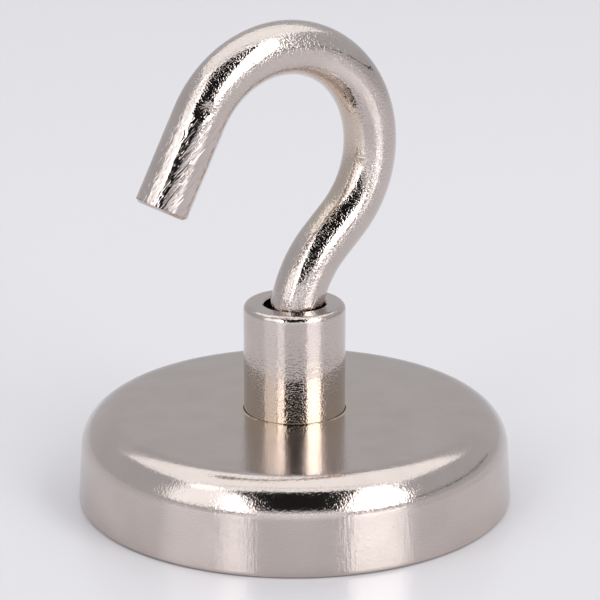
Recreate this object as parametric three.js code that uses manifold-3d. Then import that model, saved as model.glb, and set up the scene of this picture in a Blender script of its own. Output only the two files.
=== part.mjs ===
// A single-sided fishing magnet: a nickel-plated steel pot with a neodymium disc potted in its
// mouth, a flanged threaded bush held in the pot's plate, and a bent wire hook screwed into the bush.
//
// Millimetres, +Z up. The origin is the centre of the pot's open rim, the face that grips, so the
// magnet stands on Z = 0. The bush and its thread run up the Z axis. The hook lies in the XZ plane:
// its bow swells towards +X and its tip comes down on the -X side.

import * as THREE from "three";
import { mergeVertices } from "three/addons/utils/BufferGeometryUtils.js";
import Module from "manifold-3d";

const wasm = await Module();
wasm.setup();

// ---- Driving dimensions ------------------------------------------------------------------------------

const seatGap = 0.05; // between faces that are bonded or pressed home
const runningGap = 0.15; // between a bush and the hole that it stands in

// Pot
const potDiameter = 60;
const potHeight = 12.5;
const potCornerRadius = 4.7; // the rolled corner between the wall and the plate
const wallDraft = 0.5; // how much smaller the wall's radius is at its top than at the rim
const wallThickness = 3.5; // at the rim
const plateThickness = 5.3;
const edgeBreak = 0.4; // small chamfers on the pot's rim and in its corners
const holeEdge = 0.15; // chamfer where the bush comes out of the plate

// Magnet and potting
const pottingGap = 1.5; // width of the resin ring between the magnet and the wall
const resinFilm = 0.3; // resin between the magnet's back and the plate
const magnetRecess = 0.2; // how far the magnet's face lies inside the rim
const resinRecess = 0.5; // how far the resin ring lies inside the rim
const magnetEdge = 0.5;

// Bush
const bushDiameter = 14;
const bushRise = 15.25; // from the pot's plate to the bush's top
const bushEdge = 0.5; // rounded outer edge at the bush's top
const footOverhang = 1.9; // how far the foot stands out past the neck, all round
const footThickness = 2;
const mouthDepth = 4; // plain counterbore above the thread
const mouthEdge = 0.25;

// Thread: M8 x 1.25, right-handed
const threadDiameter = 8;
const threadPitch = 1.25;
const flankGap = 0.1; // along the axis, between the two threads' flanks
const crestGap = 0.13; // between one thread's crest and the other's root
const threadLength = 14; // on the hook

// Hook
const wireDiameter = 7.2;
const mouthGap = 0.65; // between the wire and the bush's mouth
const shankLength = 0.2; // straight wire before the first bend
const neckBendRadius = 15.9; // to the wire's centre line
const neckBendAngle = 46.4;
const neckLength = 4.1; // straight wire between the two bends
const bowRadius = 14.5; // to the wire's centre line
const bowAngle = 198.6;
const tipLength = 13.1; // straight wire after the bow

// Thread adhesive
const adhesiveHeight = 0.8;

// Roundness
const potSides = 72;
const bushSides = 48;
const wireSides = 24;
const threadSides = 24;
const cornerSteps = 8;
const wireStep = 2.6; // length of one stretch of wire

// ---- Sizes that follow -------------------------------------------------------------------------------

const potRadius = potDiameter / 2;
const cavityRadius = potRadius - wallThickness;
const ceiling = potHeight - plateThickness; // the cavity's flat inner face
const magnetRadius = cavityRadius - pottingGap;
const magnetTop = ceiling - seatGap - resinFilm - seatGap;

const neckRadius = bushDiameter / 2;
const footRadius = neckRadius + footOverhang;
const footTop = ceiling + footThickness;
const bushTop = potHeight + bushRise;

const threadRadius = threadDiameter / 2;
const wireRadius = wireDiameter / 2;
const mouthRadius = Math.max(wireRadius + mouthGap, threadRadius + crestGap);
const mouthFloor = bushTop - mouthDepth;
const threadTop = mouthFloor - seatGap;
const threadBottom = threadTop - threadLength;
const wireBottom = mouthFloor + seatGap; // the full wire starts here, above the thread's run-out

// ---- Shapes ------------------------------------------------------------------------------------------

// A solid of revolution about Z from its outline of [radius, height] points.
function turned(outline, sides) {
  const points = outline.map(([radius, height]) => new THREE.Vector2(radius, height));
  return new THREE.LatheGeometry(points, sides).rotateX(Math.PI / 2);
}

// Points along an arc in an outline, from one angle to another, in degrees.
function arcPoints(centreRadius, centreHeight, radius, from, to, steps) {
  return Array.from({ length: steps + 1 }, (_, i) => {
    const angle = THREE.MathUtils.degToRad(from + ((to - from) * i) / steps);
    return [centreRadius + radius * Math.cos(angle), centreHeight + radius * Math.sin(angle)];
  });
}

// A closed mesh as a solid that can be cut and joined.
function toSolid(geometry) {
  const bare = geometry.clone();
  bare.deleteAttribute("normal");
  bare.deleteAttribute("uv");
  const merged = mergeVertices(bare, 1e-4);
  return new wasm.Manifold(
    new wasm.Mesh({
      numProp: 3,
      vertProperties: merged.attributes.position.array,
      triVerts: new Uint32Array(merged.index.array),
    }),
  );
}

function fromSolid(solid) {
  const mesh = solid.getMesh();
  return new THREE.BufferGeometry()
    .setAttribute("position", new THREE.BufferAttribute(mesh.vertProperties, 3))
    .setIndex(new THREE.BufferAttribute(mesh.triVerts, 1))
    .toNonIndexed();
}

// One pitch of a 60 degree thread as [height, radius] points. A positive gap makes the ridge wider.
function ridge(rootRadius, crestRadius, gap) {
  const pitchRadius = threadRadius - 0.375 * threadPitch * Math.cos(Math.PI / 6);
  const slope = Math.tan(Math.PI / 6);
  const halfWidth = (radius) => threadPitch / 4 - (radius - pitchRadius) * slope + gap / 2;
  const root = halfWidth(rootRadius);
  const crest = halfWidth(crestRadius);
  return [
    [-root, rootRadius],
    [-crest, crestRadius],
    [crest, crestRadius],
    [root, rootRadius],
  ];
}

// A rod with a right-handed helical ridge. Each line of vertices climbs one pitch in a turn, so the
// line that ends a turn is the one that starts the next. Fans to a point on the axis close the ends.
function helicalRod(profile, bottom, turns) {
  const perTurn = profile.length;
  const lines = perTurn * turns;
  const positions = [];
  const ids = new Map();
  const vertex = (side, line) => {
    if (side === threadSides) return vertex(0, line + perTurn);
    const key = side + " " + line;
    if (!ids.has(key)) {
      const [height, radius] = profile[line % perTurn];
      const angle = (2 * Math.PI * side) / threadSides;
      const turn = Math.floor(line / perTurn) + side / threadSides;
      ids.set(key, positions.length / 3);
      const rise = bottom + height + turn * threadPitch;
      positions.push(radius * Math.cos(angle), radius * Math.sin(angle), rise);
    }
    return ids.get(key);
  };
  const point = (height) => positions.push(0, 0, height) / 3 - 1;
  const lowPoint = point(bottom - threadPitch);
  const highPoint = point(bottom + (turns + 2) * threadPitch);
  const faces = [];
  for (let side = 0; side < threadSides; side++) {
    for (let line = 0; line < lines; line++) {
      const [a, b] = [vertex(side, line), vertex(side + 1, line)];
      const [d, c] = [vertex(side, line + 1), vertex(side + 1, line + 1)];
      faces.push(a, b, c, a, c, d);
    }
    faces.push(vertex(side + 1, 0), vertex(side, 0), lowPoint);
    faces.push(vertex(side, lines), vertex(side + 1, lines), highPoint);
  }
  for (let line = 0; line < perTurn; line++) {
    faces.push(vertex(0, line), vertex(0, line + 1), lowPoint);
    faces.push(vertex(0, lines + line + 1), vertex(0, lines + line), highPoint);
  }
  return new THREE.BufferGeometry()
    .setAttribute("position", new THREE.Float32BufferAttribute(positions, 3))
    .setIndex(faces);
}

// The hook's centre line: straight shank, neck bend, straight neck, bow, straight tip.
class HookLine extends THREE.Curve {
  constructor() {
    super();
    const bend = THREE.MathUtils.degToRad(neckBendAngle);
    const bow = THREE.MathUtils.degToRad(bowAngle);
    this.stretches = [
      { length: shankLength, turn: 0 },
      { length: neckBendRadius * bend, turn: bend },
      { length: neckLength, turn: 0 },
      { length: bowRadius * bow, turn: -bow },
      { length: tipLength, turn: 0 },
    ];
    this.total = this.stretches.reduce((sum, stretch) => sum + stretch.length, 0);
  }

  getPoint(t) {
    let left = t * this.total;
    let [x, z, heading] = [0, wireBottom, 0]; // heading is the lean from +Z towards +X
    for (const { length, turn } of this.stretches) {
      const run = Math.min(left, length);
      const lean = (turn * run) / length;
      const chord = lean === 0 ? run : (2 * run * Math.sin(lean / 2)) / lean;
      x += chord * Math.sin(heading + lean / 2);
      z += chord * Math.cos(heading + lean / 2);
      heading += lean;
      left -= run;
      if (left <= 0) break;
    }
    return new THREE.Vector3(x, 0, z);
  }
}

// ---- Pieces ------------------------------------------------------------------------------------------

function potCup() {
  const cornerRadius = potRadius - wallDraft - potCornerRadius;
  const holeRadius = neckRadius + runningGap;
  const recessRadius = footRadius + runningGap;
  const recessTop = footTop + seatGap;
  return turned(
    [
      [cavityRadius + edgeBreak, 0],
      [potRadius - edgeBreak, 0],
      [potRadius, edgeBreak],
      ...arcPoints(cornerRadius, potHeight - potCornerRadius, potCornerRadius, 0, 90, cornerSteps),
      [holeRadius + holeEdge, potHeight],
      [holeRadius, potHeight - holeEdge],
      [holeRadius, recessTop],
      [recessRadius, recessTop],
      [recessRadius, ceiling],
      [cavityRadius - edgeBreak, ceiling],
      [cavityRadius, ceiling - edgeBreak],
      [cavityRadius, edgeBreak],
      [cavityRadius + edgeBreak, 0],
    ],
    potSides,
  );
}

function magnetDisc() {
  return turned(
    [
      [0, magnetRecess],
      [magnetRadius - magnetEdge, magnetRecess],
      [magnetRadius, magnetRecess + magnetEdge],
      [magnetRadius, magnetTop - magnetEdge],
      [magnetRadius - magnetEdge, magnetTop],
      [0, magnetTop],
    ],
    potSides,
  );
}

// The resin fills the ring round the magnet and the film behind it.
function resinPotting() {
  const outer = cavityRadius - seatGap;
  const inner = magnetRadius + seatGap;
  const top = ceiling - seatGap;
  return turned(
    [
      [inner, resinRecess],
      [outer, resinRecess],
      [outer, top - edgeBreak],
      [outer - edgeBreak, top],
      [0, top],
      [0, magnetTop + seatGap],
      [inner, magnetTop + seatGap],
      [inner, resinRecess],
    ],
    potSides,
  );
}

function threadedBush() {
  const bottom = ceiling + seatGap;
  const body = turned(
    [
      [0, bottom],
      [footRadius, bottom],
      [footRadius, footTop],
      [neckRadius, footTop],
      ...arcPoints(neckRadius - bushEdge, bushTop - bushEdge, bushEdge, 0, 90, 3),
      [mouthRadius + mouthEdge, bushTop],
      [mouthRadius, bushTop - mouthEdge],
      [mouthRadius, mouthFloor],
      [0, mouthFloor],
    ],
    bushSides,
  );
  const crest = threadRadius + crestGap / 2;
  const root = threadRadius - 0.625 * threadPitch * Math.cos(Math.PI / 6);
  const firstRidge = threadBottom - Math.ceil((threadBottom - bottom) / threadPitch + 2) * threadPitch;
  const turns = Math.ceil((mouthFloor - firstRidge) / threadPitch) + 1;
  const endPlane = mouthFloor + mouthDepth / 2;
  const limits = turned(
    [
      [0, firstRidge],
      [crest + 1, firstRidge],
      [crest + 1, endPlane],
      [0, endPlane],
    ],
    threadSides,
  );
  const rod = helicalRod(ridge(root, crest, flankGap), firstRidge, turns);
  const cutter = toSolid(rod).intersect(toSolid(limits));
  return fromSolid(toSolid(body).subtract(cutter));
}

function hook() {
  const crest = threadRadius - crestGap / 2;
  const root = threadRadius - 0.625 * threadPitch * Math.cos(Math.PI / 6) - crestGap;
  const leadIn = crest - root + 0.2;
  const firstRidge = threadBottom - threadPitch;
  const turns = Math.ceil(threadLength / threadPitch) + 3;
  const blank = turned(
    [
      [0, threadBottom],
      [crest - leadIn, threadBottom],
      [crest, threadBottom + leadIn],
      [crest, threadTop - leadIn],
      [crest - leadIn, threadTop],
      [crest - leadIn, wireBottom + 1],
      [0, wireBottom + 1],
    ],
    threadSides,
  );
  const rod = helicalRod(ridge(root, crest, -flankGap), firstRidge, turns);
  const screw = toSolid(rod).intersect(toSolid(blank));
  const line = new HookLine();
  const section = new THREE.Shape(
    Array.from({ length: wireSides }, (_, i) => {
      const angle = (2 * Math.PI * i) / wireSides;
      return new THREE.Vector2(wireRadius * Math.cos(angle), wireRadius * Math.sin(angle));
    }),
  );
  const wire = new THREE.ExtrudeGeometry(section, {
    steps: Math.round(line.total / wireStep),
    extrudePath: line,
  });
  return fromSolid(screw.add(toSolid(wire)));
}

// A ring of cured adhesive round the wire's foot, down in the bush's mouth.
function threadAdhesive() {
  const bottom = mouthFloor + seatGap;
  const [inner, outer] = [wireRadius + 2 * seatGap, mouthRadius - seatGap];
  return turned(
    [
      [inner, bottom],
      [outer, bottom],
      [outer, bottom + adhesiveHeight],
      [inner, bottom + adhesiveHeight],
      [inner, bottom],
    ],
    bushSides,
  );
}

// ---- Materials ---------------------------------------------------------------------------------------

const nickel = new THREE.MeshStandardMaterial({ color: 0xc9c1bb, metalness: 1, roughness: 0.22 });
const magnetPlating = new THREE.MeshStandardMaterial({ color: 0xb9b5b1, metalness: 1, roughness: 0.3 });
const resin = new THREE.MeshStandardMaterial({ color: 0x17181a, metalness: 0, roughness: 0.45 });
const adhesive = new THREE.MeshStandardMaterial({ color: 0x8a6a3c, metalness: 0, roughness: 0.4 });

// ---- Assembly ----------------------------------------------------------------------------------------

const magnet = new THREE.Group();

function add(name, geometry, material) {
  const mesh = new THREE.Mesh(geometry, material);
  mesh.name = name;
  magnet.add(mesh);
}

add("pot_cup", potCup(), nickel);
add("magnet_disc", magnetDisc(), magnetPlating);
add("resin_potting", resinPotting(), resin);
add("threaded_bush", threadedBush(), nickel);
add("thread_adhesive", threadAdhesive(), adhesive);
add("hook", hook(), nickel);

export default magnet;
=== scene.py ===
# %% [markdown]
# # A magnet for fishing steel out of water
#
# The real object is small, about as wide as a jam-jar lid. A low nickel-plated steel pot holds a magnet in its
# mouth, a threaded bush stands up from the pot's plate, and a bent wire hook is screwed into the bush.
#
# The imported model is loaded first, as a frame that is never moved. It gives each piece's place and size. The pieces
# that are made here stand for its plain ones, with smoother curves, worked edges and a real finish.

import math

import bmesh
import bpy
from mathutils import Matrix, Vector


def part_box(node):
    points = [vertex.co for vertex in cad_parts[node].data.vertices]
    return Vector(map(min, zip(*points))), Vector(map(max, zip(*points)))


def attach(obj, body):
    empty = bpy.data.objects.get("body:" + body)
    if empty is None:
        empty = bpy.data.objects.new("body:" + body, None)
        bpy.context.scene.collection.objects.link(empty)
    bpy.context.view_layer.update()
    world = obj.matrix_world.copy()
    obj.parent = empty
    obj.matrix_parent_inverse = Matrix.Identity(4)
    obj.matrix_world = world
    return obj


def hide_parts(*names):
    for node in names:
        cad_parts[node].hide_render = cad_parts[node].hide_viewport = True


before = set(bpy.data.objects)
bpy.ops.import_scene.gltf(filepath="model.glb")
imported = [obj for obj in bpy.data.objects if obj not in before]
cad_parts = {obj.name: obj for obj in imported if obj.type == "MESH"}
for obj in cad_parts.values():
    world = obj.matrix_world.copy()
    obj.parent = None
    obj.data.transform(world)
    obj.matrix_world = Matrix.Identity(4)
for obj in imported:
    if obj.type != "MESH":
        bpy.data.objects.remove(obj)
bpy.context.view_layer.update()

# %% [markdown]
# ## Sizes
#
# Overall sizes come from the frame's own boxes, so a new frame gives new pieces. The smaller ones, such as the
# pot's rolled corner, can't be read off a box, so they are written here once, in metres.

# %% Read the sizes
MM = 0.001

pot_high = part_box("pot_cup")[1]
bush_low, bush_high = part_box("threaded_bush")
hook_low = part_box("hook")[0]
magnet_low, magnet_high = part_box("magnet_disc")
resin_low, resin_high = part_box("resin_potting")
ring_low, ring_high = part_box("thread_adhesive")

pot_radius = pot_high.x
pot_height = pot_high.z
foot_radius = bush_high.x
bush_top = bush_high.z
resin_radius = resin_high.x
magnet_radius = magnet_high.x

pot_corner = 4.7 * MM
pot_draft = 0.8 * MM
wall = 3.5 * MM
ceiling = 7.2 * MM
bush_radius = 7.0 * MM
foot_top = 9.2 * MM
mouth_radius = 4.25 * MM
mouth_floor = 23.75 * MM
wire_radius = 3.6 * MM
pitch = 1.25 * MM
print("pot is", round(2000 * pot_radius, 1), "x", round(1000 * pot_height, 1), "mm")
print("bush's top is at", round(1000 * bush_top, 2), "mm")

# %% [markdown]
# ## Working by selection
#
# Modelling by hand is a rhythm of select, then act. In a script the selecting has to be said in words, so these
# few helpers pick faces or edges by where they are or which way they face. Everything is let go of first, because
# an operator acts on all that is selected.

# %% Take up a piece
def let_go():
    if bpy.context.mode != "OBJECT":
        bpy.ops.object.mode_set(mode="OBJECT")
    bpy.ops.object.select_all(action="DESELECT")


def work_on(piece):
    let_go()
    piece.select_set(True)
    bpy.context.view_layer.objects.active = piece
    bpy.ops.object.mode_set(mode="EDIT")


# %% Pick by place or by facing
def pick(kind, test):
    """Selects the faces, edges or verts of the piece being edited that pass the test."""
    bpy.ops.mesh.select_mode(type={"faces": "FACE", "edges": "EDGE", "verts": "VERT"}[kind])
    bpy.ops.mesh.select_all(action="DESELECT")
    data = bpy.context.edit_object.data
    mesh = bmesh.from_edit_mesh(data)
    chosen = [part for part in getattr(mesh, kind) if test(part)]
    for part in chosen:
        part.select_set(True)
    mesh.select_flush_mode()
    bmesh.update_edit_mesh(data)
    return len(chosen)


def far(point):
    """Distance of a point from the Z axis."""
    return math.hypot(point.x, point.y)


def near(a, b, slack=0.005 * MM):
    return abs(a - b) < slack


def ring_edge(height, radius):
    """A test for the edges of one circle about the Z axis."""
    def test(edge):
        return all(near(v.co.z, height) and near(far(v.co), radius) for v in edge.verts)
    return test


def flat_face(height, up):
    """A test for level faces at one height that look up or down."""
    def test(face):
        return near(face.calc_center_median().z, height) and face.normal.z * (1 if up else -1) > 0.9999
    return test


# %% [markdown]
# Nearly everything here is turned on a lathe, so a plain bar is the start of most pieces. After that a few moves do
# the work: push faces out or in, inset a smaller face inside a face, soften an edge, and cut a ring of edges across.

# %% Moves that shape a piece
def bar(name, radius, low, high, vertices):
    """A plain round bar about the Z axis, between two heights, taken up for editing."""
    let_go()
    bpy.ops.mesh.primitive_cylinder_add(
        vertices=vertices, radius=radius, depth=high - low, location=(0, 0, (low + high) / 2)
    )
    piece = bpy.context.object
    piece.name = name
    bpy.ops.object.transform_apply(location=True)
    work_on(piece)
    return piece


def push(x=0, y=0, z=0):
    bpy.ops.mesh.extrude_region_move(TRANSFORM_OT_translate={"value": (x, y, z)})


def inset(width):
    bpy.ops.mesh.inset(thickness=width, use_even_offset=True)


def soften(offset, segments):
    bpy.ops.mesh.bevel(offset=offset, segments=segments, profile=0.5, affect="EDGES", clamp_overlap=False)


def cut_across(height):
    bpy.ops.mesh.select_all(action="SELECT")
    bpy.ops.mesh.bisect(plane_co=(0, 0, height), plane_no=(0, 0, 1))


# %% [markdown]
# Every piece ends the same way. Doubled points are merged, faces are turned outwards, and the object goes to the
# origin with its place in its mesh. Faces that meet at less than 35 degrees are shaded as one curve, and sharper
# ones keep their edge.

# %% Finish a piece
def finish_piece(piece):
    work_on(piece)
    bpy.ops.mesh.select_all(action="SELECT")
    bpy.ops.mesh.remove_doubles(threshold=0.001 * MM)
    bpy.ops.mesh.normals_make_consistent(inside=False)
    let_go()
    piece.select_set(True)
    bpy.ops.object.transform_apply(location=True, rotation=True, scale=True)
    bpy.ops.object.shade_smooth_by_angle(angle=math.radians(35))
    print(piece.name, len(piece.data.polygons), "faces")


# %% [markdown]
# ## The pot
#
# The real pot is a steel cup, turned or pressed, then plated. It could be spun from a profile, but it's built here
# the way that it is cut: a solid slug, its wall given a slight draft, its upper corner rounded, and its underside
# bored out in steps. Each step is one operator, so each can be changed by itself.

# %% Turn the outside of the pot
pot = bar("pot_shell", pot_radius, 0, pot_height, 256)
top_radius = pot_radius - pot_draft
pick("faces", flat_face(pot_height, up=True))
bpy.ops.transform.resize(value=(top_radius / pot_radius, top_radius / pot_radius, 1))
pick("edges", ring_edge(pot_height, top_radius))
soften(pot_corner, 26)
print("corner rounded to", round(1000 * pot_corner, 1), "mm")

# %% [markdown]
# A rounded corner next to a flat spreads its shading over the whole flat face, and a mirror finish shows that at
# once. A narrow border of faces beside each rounding stops it, so small insets go in between the larger ones.
#
# The bush comes up through a hole in the plate. Pressing it in leaves a fine burr, so the hole's edge is lifted by
# a seventh of a millimetre and rounded over. That lip is the bright line round the bush's foot.

# %% Bore the pot out from below
hole_radius = bush_radius + 0.08 * MM
flat_radius = top_radius - pot_corner
corner_border = 0.25 * MM
lip_border = 0.1 * MM
lip_width = 0.28 * MM
pick("faces", flat_face(pot_height, up=True))
inset(corner_border)
inset(flat_radius - corner_border - lip_border - lip_width - hole_radius)
inset(lip_border)
inset(lip_width)

bore_radius = pot_radius - wall
foot_gap = 0.15 * MM
seat_gap = 0.05 * MM
pick("faces", flat_face(0, up=False))
inset(wall)
push(z=ceiling)
inset(bore_radius - foot_radius - foot_gap)
push(z=foot_top + seat_gap - ceiling)
inset(foot_radius - bush_radius)
print("bored to", round(2000 * bore_radius, 1), "mm, with a flat top of", round(2000 * flat_radius, 1), "mm")

# %% Open the hole for the bush and break the sharp edges
hole_faces = pick("faces", lambda f: abs(f.normal.z) > 0.99 and len(f.verts) > 100)
bpy.ops.mesh.bridge_edge_loops()
print("bridged", hole_faces, "faces into a hole")
for height, radius, offset, segments in (
    (0, pot_radius, 0.5 * MM, 4),
    (0, bore_radius, 0.4 * MM, 3),
    (ceiling, bore_radius, 0.4 * MM, 3),
):
    pick("edges", ring_edge(height, radius))
    soften(offset, segments)

# %% Raise the lip and border the wall
lip_height = 0.14 * MM
pick("edges", ring_edge(pot_height, hole_radius))
bpy.ops.transform.translate(value=(0, 0, lip_height))
soften(lip_height / 2, 3)
cut_across(0.75 * MM)
cut_across(pot_height - pot_corner - 0.2 * MM)
finish_piece(pot)

# %% [markdown]
# ## The bush
#
# The bush is turned from bar. Its wide foot stays under the pot's plate and stops the pull of the rope from drawing
# it out. Its mouth is bored a little wider than the thread, and that dark gap round the wire shows from most sides.

# %% Turn the bush
bush = bar("bush_body", foot_radius, bush_low.z, foot_top, 160)
pick("faces", flat_face(foot_top, up=True))
inset(foot_radius - bush_radius)
push(z=bush_top - foot_top)
bush_rounding = 0.85 * MM
pick("edges", ring_edge(bush_top, bush_radius))
soften(bush_rounding, 10)
pick("edges", ring_edge(foot_top, foot_radius))
soften(0.2 * MM, 2)
print("bush stands", round(1000 * (bush_top - pot_height), 2), "mm above the pot")

# %% Bore the bush's mouth
mouth_edge = 0.25 * MM
top_border = 0.15 * MM
pick("faces", flat_face(bush_top, up=True))
inset(top_border)
inset(bush_radius - bush_rounding - top_border - mouth_radius - mouth_edge)
inset(mouth_edge)
bpy.ops.transform.translate(value=(0, 0, -mouth_edge))
push(z=mouth_floor + mouth_edge - bush_top)
cut_across(bush_top - bush_rounding - top_border)
finish_piece(bush)

# %% [markdown]
# ## The thread
#
# One pitch of thread is a ridge and a valley. Drawn as a line of points beside the axis and wound up by the Screw
# modifier, it makes a rod with a real helix. The same helper makes the hook's thread, and a slightly larger one is
# cut out of the bush, so the two stay in mesh with a little air between them.
#
# A wound rod is open at both ends, and a Boolean needs a closed tool, so each end is drawn out to a point.

# %% Wind a thread
thread_radius = 4.0 * MM
flank = math.radians(30)
thread_depth = 0.625 * pitch * math.cos(flank)
turn_sides = 48


def threaded_rod(name, root, crest, widen, first, turns):
    """A rod with a right-handed thread about Z. widen is added to each ridge's width."""
    middle = thread_radius - 0.375 * pitch * math.cos(flank)
    at_root = pitch / 4 - (root - middle) * math.tan(flank) + widen / 2
    at_crest = pitch / 4 - (crest - middle) * math.tan(flank) + widen / 2
    line = [(root, -at_root), (crest, -at_crest), (crest, at_crest), (root, at_root), (root, pitch - at_root)]
    let_go()
    bpy.ops.mesh.primitive_plane_add(size=1 * MM)
    rod = bpy.context.object
    rod.name = name
    work_on(rod)
    bpy.ops.mesh.select_mode(type="VERT")
    bpy.ops.mesh.select_all(action="SELECT")
    bpy.ops.mesh.merge(type="CENTER")
    bpy.ops.transform.translate(value=(line[0][0], 0, first + line[0][1]))
    for (x0, z0), (x1, z1) in zip(line, line[1:]):
        bpy.ops.mesh.extrude_vertices_move(TRANSFORM_OT_translate={"value": (x1 - x0, 0, z1 - z0)})
    let_go()
    bpy.context.view_layer.objects.active = rod
    winding = rod.modifiers.new("winding", "SCREW")
    winding.axis, winding.angle, winding.screw_offset = "Z", math.radians(360), pitch
    winding.steps = winding.render_steps = turn_sides
    winding.iterations = turns
    winding.use_merge_vertices = True
    winding.merge_threshold = 0.001 * MM
    bpy.ops.object.modifier_apply(modifier="winding")
    close_ends(rod)
    return rod


# %% Close the ends of a thread
def close_ends(rod):
    """Draws each open end out to a point on the axis."""
    work_on(rod)
    bpy.ops.mesh.select_all(action="SELECT")
    bpy.ops.mesh.remove_doubles(threshold=0.002 * MM)
    heights = [v.co.z for v in bmesh.from_edit_mesh(rod.data).verts]
    middle = (min(heights) + max(heights)) / 2
    for side, tip in ((-1, min(heights) - pitch), (1, max(heights) + pitch)):
        pick("edges", lambda e: e.is_boundary and side * (e.verts[0].co.z - middle) > 0)
        bpy.ops.mesh.extrude_edges_move(TRANSFORM_OT_translate={"value": (0, 0, side * pitch)})
        bpy.ops.mesh.merge(type="COLLAPSE")
        mesh = bmesh.from_edit_mesh(rod.data)
        for v in mesh.verts:
            if v.select:
                v.co = Vector((0, 0, tip))
        bmesh.update_edit_mesh(rod.data)
    bpy.ops.mesh.select_all(action="SELECT")
    bpy.ops.mesh.normals_make_consistent(inside=False)
    let_go()


# %% Join, cut or trim
def carve(piece, tool, operation):
    """Joins, cuts or trims a piece with a tool, and throws the tool away."""
    let_go()
    bpy.context.view_layer.objects.active = piece
    step = piece.modifiers.new("carve", "BOOLEAN")
    step.operation, step.solver, step.object = operation, "EXACT", tool
    bpy.ops.object.modifier_apply(modifier="carve")
    bpy.data.objects.remove(tool)


# %% Cut the bush's thread
flank_gap = 0.1 * MM
crest_gap = 0.13 * MM
thread_bottom = hook_low.z
tap_bottom = thread_bottom - 5 * pitch
tap_turns = math.ceil((mouth_floor - tap_bottom) / pitch) + 1
tap = threaded_rod(
    "tap", thread_radius - thread_depth, thread_radius + crest_gap / 2, flank_gap, tap_bottom, tap_turns
)
sleeve = bar("sleeve", 5 * MM, tap_bottom, mouth_floor + 2 * MM, 96)
carve(tap, sleeve, "INTERSECT")
carve(bush, tap, "DIFFERENCE")
finish_piece(bush)

# %% [markdown]
# ## The hook
#
# The hook is one rod, bent round two pins. So the mesh is bent too: a disc is drawn up as a straight shank, spun
# round the first pin, drawn straight, spun back round the larger pin for the bow, and drawn out to the tip. The
# wire keeps its true round section all the way, as a bent rod nearly does.

# %% Bend the wire
wire_start = mouth_floor + 0.05 * MM
neck_bend = math.radians(46.4)
bow_bend = math.radians(198.6)
neck_radius = 15.9 * MM
bow_radius = 14.5 * MM

let_go()
bpy.ops.mesh.primitive_circle_add(vertices=96, radius=wire_radius, fill_type="NGON", location=(0, 0, wire_start))
hook = bpy.context.object
hook.name = "hook_wire"
bpy.ops.object.transform_apply(location=True)
work_on(hook)
bpy.ops.mesh.select_all(action="SELECT")


class Bender:
    """Keeps the place and heading of the wire's free end, and bends or draws it further."""

    def __init__(self, height):
        self.place = Vector((0, 0, height))
        self.lean = 0.0

    def heading(self):
        return Vector((math.sin(self.lean), 0, math.cos(self.lean)))

    def draw(self, length, steps):
        for _ in range(steps):
            push(*(self.heading() * length / steps))
        self.place = self.place + self.heading() * length

    def bend(self, radius, angle, steps):
        side = math.copysign(1, angle)
        across = Vector((math.cos(self.lean), 0, -math.sin(self.lean))) * side
        pin = self.place + across * radius
        bpy.ops.mesh.spin(steps=steps, angle=abs(angle), center=pin, axis=(0, -side, 0))
        turn = Matrix.Rotation(angle, 3, "Y")
        self.place = pin + turn @ (self.place - pin)
        self.lean += angle
        return pin


bender = Bender(wire_start)
bender.draw(0.2 * MM, 1)
bender.bend(neck_radius, neck_bend, 48)
bender.draw(4.1 * MM, 14)
bow_pin = bender.bend(bow_radius, -bow_bend, 170)
bender.draw(13.1 * MM, 42)
tip, tip_heading = bender.place, bender.heading()
print("tip at", [round(1000 * c, 2) for c in tip], "bow's pin at", [round(1000 * c, 2) for c in bow_pin])

# %% Shape the cut tip
pick("edges", lambda e: all(near((v.co - tip).dot(tip_heading), 0) for v in e.verts))
soften(0.4 * MM, 1)
finish_piece(hook)

# %% [markdown]
# The jaws that held the free end left a small dent where they stopped. It's a real hollow, so it belongs in the
# mesh: a few points are pushed inwards, and proportional editing eases their neighbours after them.

# %% Knock a dent in the wire
dent_depth = 0.14 * MM
dent_radius = 1.3 * MM
dent_side = Vector((-0.43, -0.86, 0.23)).normalized()
dent_place = tip - tip_heading * 14.2 * MM + dent_side * wire_radius
work_on(hook)
pushed = pick("verts", lambda v: (v.co - dent_place).length < 0.3 * MM)
bpy.ops.transform.translate(
    value=-dent_side * dent_depth,
    use_proportional_edit=True,
    use_proportional_connected=True,
    proportional_edit_falloff="SMOOTH",
    proportional_size=dent_radius,
)
let_go()
print("dent at", [round(1000 * c, 2) for c in dent_place], "pushed in at", pushed, "points")

# %% [markdown]
# On the real hook, the thread is rolled on the same wire. Here a screw is wound, trimmed to length by a blank whose
# ends are chamfered, and joined to the wire just above the thread.

# %% Thread the hook's foot
crest = thread_radius - crest_gap / 2
root = thread_radius - thread_depth - crest_gap
thread_top = mouth_floor - 0.05 * MM
screw_turns = math.ceil((thread_top - thread_bottom) / pitch) + 3
screw = threaded_rod("screw", root, crest, -flank_gap, thread_bottom - pitch, screw_turns)
blank = bar("blank", crest, thread_bottom, thread_top, 96)
neck = root - 0.2 * MM
pick("edges", lambda e: near(e.verts[0].co.z, e.verts[1].co.z))
soften(crest - neck, 1)
pick("faces", lambda f: f.normal.z > 0.99)
push(z=wire_start + 1 * MM - thread_top)
carve(screw, blank, "INTERSECT")
carve(hook, screw, "UNION")
finish_piece(hook)
print("hook's thread is", round(1000 * (thread_top - thread_bottom), 2), "mm long")

# %% [markdown]
# ## The magnet and its resin
#
# Turned over, the pot shows the magnet's plated disc just inside the rim, with black resin round it. The resin was
# poured, so its surface dips in the middle of the ring and climbs a little at both walls.

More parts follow.
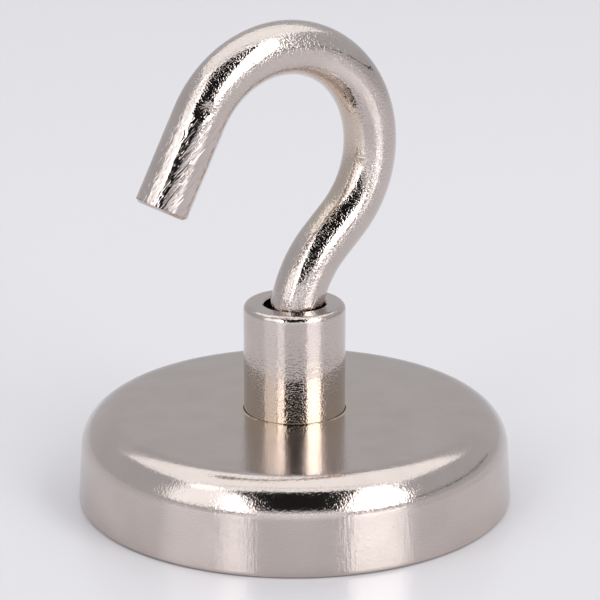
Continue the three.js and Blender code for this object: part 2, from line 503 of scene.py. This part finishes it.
# %% Press the magnet
magnet = bar("magnet_face", magnet_radius, magnet_low.z, magnet_high.z, 192)
for height in (magnet_low.z, magnet_high.z):
    pick("edges", ring_edge(height, magnet_radius))
    soften(0.5 * MM, 4)
for height, up in ((magnet_low.z, False), (magnet_high.z, True)):
    pick("faces", flat_face(height, up))
    inset(0.3 * MM)
finish_piece(magnet)

# %% Pour the resin
def sag(width, steps):
    """Dishes the picked face. Each step is a share of the width, and how far its inner edge moves in mm."""
    for share, rise in steps:
        inset(width * share)
        bpy.ops.transform.translate(value=(0, 0, rise * MM))


resin = bar("resin_ring", resin_radius, resin_low.z, resin_high.z, 192)
pick("edges", ring_edge(resin_high.z, resin_radius))
soften(0.4 * MM, 2)
magnet_gap = 0.05 * MM
pick("faces", flat_face(resin_low.z, up=False))
resin_steps = ((0.12, 0.14), (0.16, 0.1), (0.22, 0.05), (0.22, -0.05), (0.16, -0.1), (0.12, -0.14))
sag(resin_radius - magnet_radius - magnet_gap, resin_steps)
push(z=magnet_high.z + magnet_gap - resin_low.z)
finish_piece(resin)

# %% [markdown]
# ## The thread adhesive
#
# A bead of adhesive was wiped round the wire's foot before it was screwed home, and it set as a ring. Its upper
# face sags between the wire and the bush, as a liquid does in a narrow gap.

# %% Set the ring of adhesive
ring = bar("adhesive_ring", ring_high.x, ring_low.z, ring_high.z, 96)
ring_width = ring_high.x - wire_radius - 0.1 * MM
pick("faces", flat_face(ring_high.z, up=True))
sag(ring_width, ((0.2, -0.12), (0.3, -0.06), (0.3, 0.06), (0.2, 0.12)))
pick("faces", flat_face(ring_low.z, up=False))
inset(ring_width)
pick("faces", lambda f: abs(f.normal.z) > 0.99 and len(f.verts) > 90)
bpy.ops.mesh.bridge_edge_loops()
finish_piece(ring)

# %% [markdown]
# ## Nickel plate
#
# Bright nickel is a slightly warm mirror, but plate over tumbled steel isn't smooth. Four things are laid over it:
#
# - A fine grain with flat tops, so a reflection's edge breaks up into specks. Each piece sets its own.
# - A broad, very low swell, which makes long reflections waver a little.
# - Upright streaks on the pot's wall, where it was drawn through the die. They fade out over the rolled corner.
# - A faint yellow stain in the corners that the plating bath reaches least: round the bush's foot, and inside the
#   bow.
#
# Roughness drifts by about a fifth either way too, so no face is evenly bright. Patterns are sized in metres, on
# Object coordinates, so a 0.2 mm grain is a 0.2 mm grain.

# %% Patterns
def add(tree, kind, **settings):
    node = tree.nodes.new(kind)
    for key, value in settings.items():
        setattr(node, key, value)
    return node


def noise(tree, place, size, detail, stretch=(1, 1, 1)):
    """Noise with features about this size, in metres. A stretch below 1 draws it out along that axis."""
    mapping = add(tree, "ShaderNodeMapping")
    mapping.inputs["Scale"].default_value = stretch
    texture = add(tree, "ShaderNodeTexNoise")
    texture.inputs["Scale"].default_value = 1 / size
    texture.inputs["Detail"].default_value = detail
    tree.links.new(place, mapping.inputs["Vector"])
    tree.links.new(mapping.outputs["Vector"], texture.inputs["Vector"])
    return texture.outputs["Fac"]


def spread(tree, value, low, high, out_low, out_high):
    """Maps low..high to out_low..out_high."""
    node = add(tree, "ShaderNodeMapRange")
    for key, number in (("From Min", low), ("From Max", high), ("To Min", out_low), ("To Max", out_high)):
        node.inputs[key].default_value = number
    tree.links.new(value, node.inputs["Value"])
    return node.outputs["Result"]


# %% [markdown]
# Marks finer than the mesh are relief. It bends the light as if the surface rose and fell, and it's laid in layers:
# each takes the one below it. A mark that belongs in one place is multiplied by a mask, and a mask is usually no
# more than a distance from some point on the piece.

# %% Relief
def bump(tree, height, depth, under=None):
    """Raises the surface by up to this depth, in metres, over what is already there."""
    node = add(tree, "ShaderNodeBump")
    node.inputs["Strength"].default_value = 1.0
    node.inputs["Distance"].default_value = depth
    tree.links.new(height, node.inputs["Height"])
    if under is not None:
        tree.links.new(under, node.inputs["Normal"])
    return node.outputs["Normal"]


def only_where(tree, height, mask):
    node = add(tree, "ShaderNodeMath", operation="MULTIPLY")
    tree.links.new(height, node.inputs[0])
    tree.links.new(mask, node.inputs[1])
    return node.outputs[0]


# %% Distance from a place on the piece
EVENLY = (1, 1, 1)


def distance(tree, place, centre, flatten=EVENLY):
    """Distance from a point, or from an axis through it if one direction is flattened to 0."""
    shift = add(tree, "ShaderNodeVectorMath", operation="SUBTRACT")
    shift.inputs[1].default_value = centre
    squash = add(tree, "ShaderNodeVectorMath", operation="MULTIPLY")
    squash.inputs[1].default_value = flatten
    length = add(tree, "ShaderNodeVectorMath", operation="LENGTH")
    tree.links.new(place, shift.inputs[0])
    tree.links.new(shift.outputs["Vector"], squash.inputs[0])
    tree.links.new(squash.outputs["Vector"], length.inputs[0])
    return length.outputs["Value"]


# %% [markdown]
# Every finish starts from a fresh material, its shader, and the Object coordinates. Plated and cast surfaces both
# drift between two close shades, so that is a helper too.

# %% Start a finish
def new_finish(name):
    material = bpy.data.materials.new(name)
    material.use_nodes = True
    tree = material.node_tree
    shader = tree.nodes["Principled BSDF"]
    place = add(tree, "ShaderNodeTexCoord").outputs["Object"]
    return material, tree, shader, place


def two_shades(tree, pattern, colour, other, into):
    """Colour that drifts between two shades with a pattern."""
    shade = add(tree, "ShaderNodeMix", data_type="RGBA")
    shade.inputs["A"].default_value = (*colour, 1)
    shade.inputs["B"].default_value = (*other, 1)
    tree.links.new(pattern, shade.inputs["Factor"])
    tree.links.new(shade.outputs["Result"], into)
    return shade


def paint(piece, material):
    piece.data.materials.clear()
    piece.data.materials.append(material)


# %% Nickel's relief
def nickel_relief(tree, place, grain, grain_depth, streak_depth, rubbed):
    """Rubbed is where the grain is worn down: a centre, where it's full and where it ends."""
    fine = spread(tree, noise(tree, place, grain, 1.0), 0.46, 0.62, 0, 1)
    if rubbed:
        centre, full, end = rubbed
        fine = only_where(tree, fine, spread(tree, distance(tree, place, centre), full, end, 0.2, 1))
    normal = bump(tree, fine, grain_depth)
    swell_depth = 0.006 * MM
    normal = bump(tree, noise(tree, place, 2.5 * MM, 2.0), swell_depth, normal)
    if streak_depth:
        streaks = noise(tree, place, 0.3 * MM, 3.0, (1, 1, 0.03))
        split = add(tree, "ShaderNodeSeparateXYZ")
        tree.links.new(place, split.inputs[0])
        on_wall = spread(tree, split.outputs["Z"], 9 * MM, 12 * MM, 1, 0.4)
        normal = bump(tree, only_where(tree, streaks, on_wall), streak_depth, normal)
    return normal


# %% Nickel's yellow stain
def stained(tree, place, colour, tint, stain):
    """Stain is a centre, what to flatten, where it's full and where it ends. Its edge wanders by 2 mm."""
    centre, flatten, full, end = stain
    wander = add(tree, "ShaderNodeMath", operation="MULTIPLY_ADD")
    wander.inputs[1].default_value = 2 * MM
    tree.links.new(noise(tree, place, 1.5 * MM, 3.0), wander.inputs[0])
    tree.links.new(distance(tree, place, centre, flatten), wander.inputs[2])
    amount = spread(tree, wander.outputs[0], full + 1 * MM, end + 1 * MM, 1, 0)
    yellow = add(tree, "ShaderNodeMix", data_type="RGBA")
    yellow.inputs["B"].default_value = (tint[0] * 0.98, tint[1] * 0.95, tint[2] * 0.87, 1)
    tree.links.new(colour, yellow.inputs["A"])
    tree.links.new(amount, yellow.inputs["Factor"])
    return yellow.outputs["Result"]


# %% Nickel
NICKEL = (0.6, 0.53, 0.494)


def nickel(name, grain, grain_depth, roughness, streak_depth=0.0, stain=None, rubbed=None):
    material, tree, shader, place = new_finish(name)
    shader.inputs["Metallic"].default_value = 1.0
    normal = nickel_relief(tree, place, grain, grain_depth, streak_depth, rubbed)
    tree.links.new(normal, shader.inputs["Normal"])
    clouds = noise(tree, place, 6 * MM, 4.0)
    dullness = spread(tree, clouds, 0.3, 0.7, roughness * 0.8, roughness * 1.25)
    tree.links.new(dullness, shader.inputs["Roughness"])
    darker = [c * 0.92 for c in NICKEL]
    shade = two_shades(tree, spread(tree, clouds, 0.35, 0.7, 0, 1), NICKEL, darker, shader.inputs["Base Color"])
    if stain:
        colour = stained(tree, place, shade.outputs["Result"], NICKEL, stain)
        tree.links.new(colour, shader.inputs["Base Color"])
    print(name, "has grain of", round(1000 * grain, 2), "mm,", round(1e6 * grain_depth, 1), "microns high")
    return material


# %% Plate the steel pieces
base_stain = ((0, 0, pot_height), EVENLY, 7 * MM, 11.5 * MM)
bow_stain = (bow_pin, (1, 0, 1), 11.1 * MM, 12.3 * MM)
gripped_end = (tip, 12.5 * MM, 15.5 * MM)
paint(pot, nickel("nickel_pot", 0.26 * MM, 0.005 * MM, 0.08, streak_depth=0.02 * MM, stain=base_stain))
paint(bush, nickel("nickel_bush", 0.28 * MM, 0.009 * MM, 0.05, stain=base_stain))
paint(hook, nickel("nickel_hook", 0.28 * MM, 0.014 * MM, 0.05, stain=bow_stain, rubbed=gripped_end))
paint(magnet, nickel("nickel_magnet", 0.15 * MM, 0.002 * MM, 0.2))

# %% [markdown]
# The wire has finer marks of its own. The jaws that gripped its free end rubbed the grain down and left slanting
# lines, the bending left a few creases at its foot, and the shears tore the cut end dull. Each is a height that is
# masked by its distance from a place on the wire, and laid over the grain.

# %% Lines in the hook's plane
def lines(tree, place, size, lean, length):
    """Noise drawn out to lines in the hook's own plane, at this lean from level."""
    turned = add(tree, "ShaderNodeMapping", vector_type="TEXTURE")
    turned.inputs["Rotation"].default_value = (0, -lean, 0)
    turned.inputs["Scale"].default_value = (length, 1, 1)
    tree.links.new(place, turned.inputs["Vector"])
    return noise(tree, turned.outputs["Vector"], size, 1.0)


tree = hook.active_material.node_tree
shader = tree.nodes["Principled BSDF"]
place = add(tree, "ShaderNodeTexCoord").outputs["Object"]
normal = shader.inputs["Normal"].links[0].from_socket

# %% Jaw marks and creases
gripped = spread(tree, distance(tree, place, gripped_end[0]), *gripped_end[1:], 1, 0)
slants = spread(tree, lines(tree, place, 0.42 * MM, math.radians(40), 16), 0.42, 0.58, 0, 1)
normal = bump(tree, only_where(tree, slants, gripped), 0.024 * MM, normal)
foot = spread(tree, distance(tree, place, (0, 0, bush_top)), 4.2 * MM, 6.5 * MM, 1, 0)
creases = spread(tree, lines(tree, place, 1.3 * MM, math.radians(68), 6), 0.49, 0.53, 0, 1)
normal = bump(tree, only_where(tree, creases, foot), 0.03 * MM, normal)
print("jaw marks within", round(1000 * gripped_end[2], 1), "mm of the tip")

# %% The torn end
cut_end = spread(tree, distance(tree, place, tip), 3.1 * MM, 3.3 * MM, 1, 0)
torn = lines(tree, place, 0.35 * MM, math.radians(-28), 8)
normal = bump(tree, only_where(tree, torn, cut_end), 0.05 * MM, normal)
tree.links.new(normal, shader.inputs["Normal"])
dull = add(tree, "ShaderNodeMath", operation="MULTIPLY_ADD")
dull.inputs[1].default_value = 0.3
tree.links.new(cut_end, dull.inputs[0])
tree.links.new(shader.inputs["Roughness"].links[0].from_socket, dull.inputs[2])
tree.links.new(dull.outputs[0], shader.inputs["Roughness"])
print("cut end is", round(dull.inputs[1].default_value, 2), "rougher")

# %% [markdown]
# ## Resin and adhesive
#
# The resin is black, with the slight orange-peel skin of something that was poured and left. The adhesive is a
# glossier amber. One helper casts both, since only the colour, the gloss and the skin's depth differ.

# %% Colour the resin and the adhesive
def cast(name, colour, roughness, depth):
    material, tree, shader, place = new_finish(name)
    clouds = noise(tree, place, 4 * MM, 3.0)
    paler = [c * 1.6 for c in colour]
    two_shades(tree, spread(tree, clouds, 0.4, 0.7, 0, 1), colour, paler, shader.inputs["Base Color"])
    dullness = spread(tree, clouds, 0.3, 0.7, roughness * 0.7, roughness * 1.3)
    tree.links.new(dullness, shader.inputs["Roughness"])
    tree.links.new(bump(tree, noise(tree, place, 0.8 * MM, 3.0), depth), shader.inputs["Normal"])
    print(name, "has a skin", round(1e6 * depth), "microns deep")
    return material


paint(resin, cast("resin_black", (0.018, 0.019, 0.021), 0.38, 0.03 * MM))
paint(ring, cast("adhesive_amber", (0.3, 0.17, 0.06), 0.25, 0.02 * MM))

# %% [markdown]
# ## Who moves with what
#
# Each new piece rides on the frame's body that it belongs to, and stands for that body's plain node. When the hook
# is unscrewed, its wire turns and rises, and the ring of adhesive rises with it.

# %% Attach the pieces
for piece, body, node, slot in (
    (pot, "pot", "pot_cup", "pot_nickel"),
    (bush, "pot", "threaded_bush", "bush_nickel"),
    (magnet, "pot", "magnet_disc", "magnet_nickel"),
    (resin, "pot", "resin_potting", "resin"),
    (ring, "lock_ring", "thread_adhesive", "adhesive"),
    (hook, "hook", "hook", "hook_nickel"),
):
    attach(piece, body)
    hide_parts(node)
    print(piece.name, "rides on", body)

# %% [markdown]
# ## The studio
#
# Polished metal has no look of its own: it shows the room. A small product like this is lit by a large soft light
# overhead and a tall softbox on each side of the camera. The overhead light is in two parts with a gap between
# them, a dim panel fills the far left, and a low strip in front lifts the pot's wall.
#
# Dark things matter as much. A bent black card between the softboxes gives the pot's corner its dark band, and a
# thin card seen on edge gives the fine dark line at its right. All are placed by compass, round the object, from
# the camera's own heading. The long lens keeps the pot's sides nearly upright.

# %% Camera
camera_turn = 34.1
camera_drop = 17.8
aim = Vector((0.62 * MM, -0.42 * MM, 28.08 * MM))
reach = 350 * MM


def around(azimuth, elevation, distance):
    """A point round the object. Azimuth 0 is towards the camera, and positive is to its right."""
    a, e = math.radians(azimuth - camera_turn), math.radians(elevation)
    return Vector((math.sin(a) * math.cos(e), -math.cos(a) * math.cos(e), math.sin(e))) * distance


let_go()
bpy.ops.object.camera_add(location=aim + around(0, camera_drop, reach))
camera = bpy.context.object
camera.rotation_euler = (aim - camera.location).to_track_quat("-Z", "Y").to_euler()
camera.data.sensor_width = 36
camera.data.lens = 154.0
bpy.context.scene.camera = camera
print("camera at", [round(c, 4) for c in camera.location])

# %% Floor
let_go()
bpy.ops.mesh.primitive_plane_add(size=6, location=(0, 0, -0.02 * MM))
floor = bpy.context.object
floor.name = "floor"
material, tree, shader, place = new_finish("floor_white")
shader.inputs["Base Color"].default_value = (0.73, 0.72, 0.745, 1)
shader.inputs["Roughness"].default_value = 0.15
paint(floor, material)
print("floor is", round(floor.dimensions.x, 1), "m wide")

# %% Lights
def softbox(name, azimuth, elevation, distance, width, height, brightness):
    """A rectangle of light that faces the object. The camera doesn't see it, but the metal does."""
    place = around(azimuth, elevation, distance)
    bpy.ops.object.light_add(type="AREA", location=place)
    light = bpy.context.object
    light.name = name
    light.rotation_euler = (-place).to_track_quat("-Z", "Y").to_euler()
    light.data.shape = "RECTANGLE"
    light.data.size, light.data.size_y = width, height
    light.data.energy = brightness * math.pi * width * height
    light.visible_camera = False
    print(name, round(light.data.energy, 2), "W")


for name, azimuth, elevation, distance_away, width, height, brightness in (
    ("overhead", 180, 71.5, 1.2, 2.0, 1.02, 0.85),
    ("overhead_front", 0, 77.5, 1.2, 2.0, 0.27, 0.85),
    ("box_left", -30, 34, 1.3, 0.36, 1.4, 2.7),
    ("box_right", 44, 34, 1.3, 0.76, 1.4, 3.6),
    ("side_panel", -56, 34, 1.35, 0.7, 1.4, 1.0),
    ("low_front", 2, 5, 1.3, 1.2, 0.2, 0.6),
):
    softbox(name, azimuth, elevation, distance_away, width, height, brightness)

# %% Black cards
def bent_card(name, start, end, angle, axis):
    """A black card bent round the object: one edge, spun about an axis through the origin."""
    let_go()
    bpy.ops.mesh.primitive_plane_add(size=1)
    card = bpy.context.object
    card.name = name
    work_on(card)
    bpy.ops.mesh.delete(type="ONLY_FACE")
    pick("verts", lambda v: v.co.y > 0)
    bpy.ops.mesh.delete(type="VERT")
    let_go()
    for v, point in zip(card.data.vertices, (start, end)):
        v.co = point
    work_on(card)
    bpy.ops.mesh.select_all(action="SELECT")
    bpy.ops.mesh.spin(steps=24, angle=angle, center=(0, 0, 0), axis=axis)
    let_go()
    paint(card, black)
    card.visible_camera = False
    print(name, "is", [round(c, 2) for c in card.dimensions], "m over all")


black, tree, shader, place = new_finish("card_black")
shader.inputs["Base Color"].default_value = (0.004, 0.004, 0.004, 1)
shader.inputs["Roughness"].default_value = 0.9
low, high = around(-22, 15.5, 0.8), around(27, 15.5, 0.8)
bent_card("black_card", low, high, math.radians(54.5), (high - low).normalized())
bent_card("card_edge", around(50, 10.5, 1), around(50, 12.5, 1), math.radians(76), (0, 0, -1))

# %% World
world = bpy.data.worlds.new("studio")
world.use_nodes = True
bpy.context.scene.world = world
backdrop = world.node_tree.nodes["Background"]
backdrop.inputs["Color"].default_value = (0.58, 0.585, 0.61, 1)
backdrop.inputs["Strength"].default_value = 1.0
bpy.context.scene.view_settings.view_transform = "Standard"
print("backdrop", [round(c, 3) for c in backdrop.inputs["Color"].default_value[:3]])
